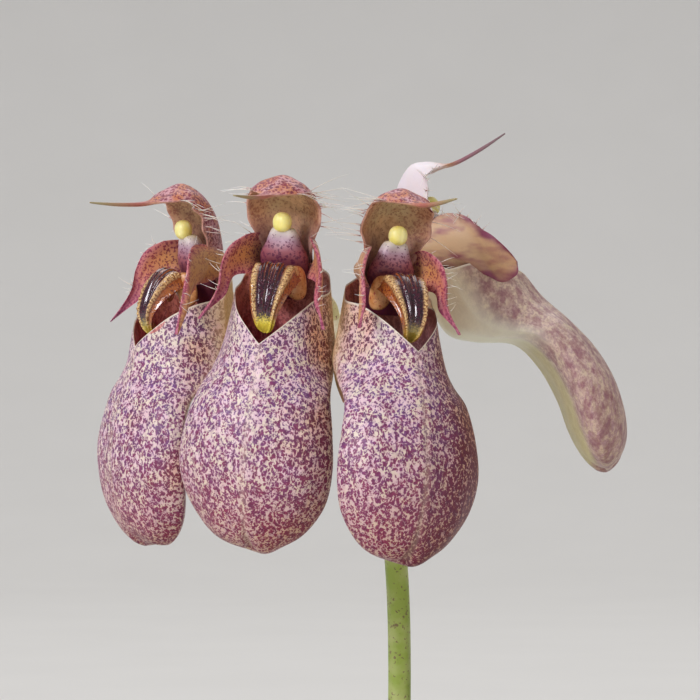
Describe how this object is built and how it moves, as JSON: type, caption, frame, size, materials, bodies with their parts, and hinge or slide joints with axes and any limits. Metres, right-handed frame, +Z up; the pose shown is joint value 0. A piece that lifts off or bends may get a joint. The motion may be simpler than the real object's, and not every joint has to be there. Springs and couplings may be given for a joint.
{
  "type": "potted orchid in flower",
  "caption": "Small pseudobulbous orchid in a clay pot: an umbel of bag-shaped spotted flowers on a thin upright scape above leathery leaves.",
  "frame": {"origin": "centre of the pot's flat base, on the surface it stands on", "axes": "+Z up; the umbel faces -Y"},
  "size_m": [0.1861, 0.1422, 0.2087],
  "materials": {
    "terracotta": "matt, unglazed fired clay",
    "bark": "rough, fibrous bark chips",
    "rhizome": "dry, scaly",
    "scape": "smooth plant stem",
    "pseudobulb": "smooth plant skin, slightly glossy",
    "leaf": "leathery, slightly glossy",
    "sheath": "dry, papery",
    "pouch": "fleshy, satin, mottled",
    "hood": "fleshy, satin, dotted",
    "petal": "thin, velvety, dotted",
    "lip": "wet-looking, glossy",
    "column": "waxy",
    "anther": "waxy",
    "pedicel": "smooth plant stem",
    "bract": "thin, papery"
  },
  "bodies": {
    "root": {"pot": "terracotta", "bark": "bark", "rhizome": "rhizome", "scape": "scape", "pseudobulb_1": "pseudobulb", "pseudobulb_2": "pseudobulb", "pseudobulb_3": "pseudobulb", "pseudobulb_4": "pseudobulb", "pseudobulb_5": "pseudobulb", "leaf_1": "leaf", "leaf_2": "leaf", "leaf_3": "leaf", "leaf_4": "leaf", "leaf_5": "leaf", "sheath_1": "sheath", "sheath_2": "sheath", "sheath_3": "sheath", "flower_1_pouch": "pouch", "flower_1_hood": "hood", "flower_1_petal_left": "petal", "flower_1_petal_right": "petal", "flower_1_lip": "lip", "flower_1_column": "column", "flower_1_anther": "anther", "flower_1_pedicel": "pedicel", "flower_1_bract": "bract", "flower_2_pouch": "pouch", "flower_2_hood": "hood", "flower_2_petal_left": "petal", "flower_2_petal_right": "petal", "flower_2_lip": "lip", "flower_2_column": "column", "flower_2_anther": "anther", "flower_2_pedicel": "pedicel", "flower_2_bract": "bract", "flower_3_pouch": "pouch", "flower_3_hood": "hood", "flower_3_petal_left": "petal", "flower_3_petal_right": "petal", "flower_3_lip": "lip", "flower_3_column": "column", "flower_3_anther": "anther", "flower_3_pedicel": "pedicel", "flower_3_bract": "bract", "flower_4_pouch": "pouch", "flower_4_hood": "hood", "flower_4_petal_left": "petal", "flower_4_petal_right": "petal", "flower_4_lip": "lip", "flower_4_column": "column", "flower_4_anther": "anther", "flower_4_pedicel": "pedicel", "flower_4_bract": "bract"}
  },
  "joints": []
}
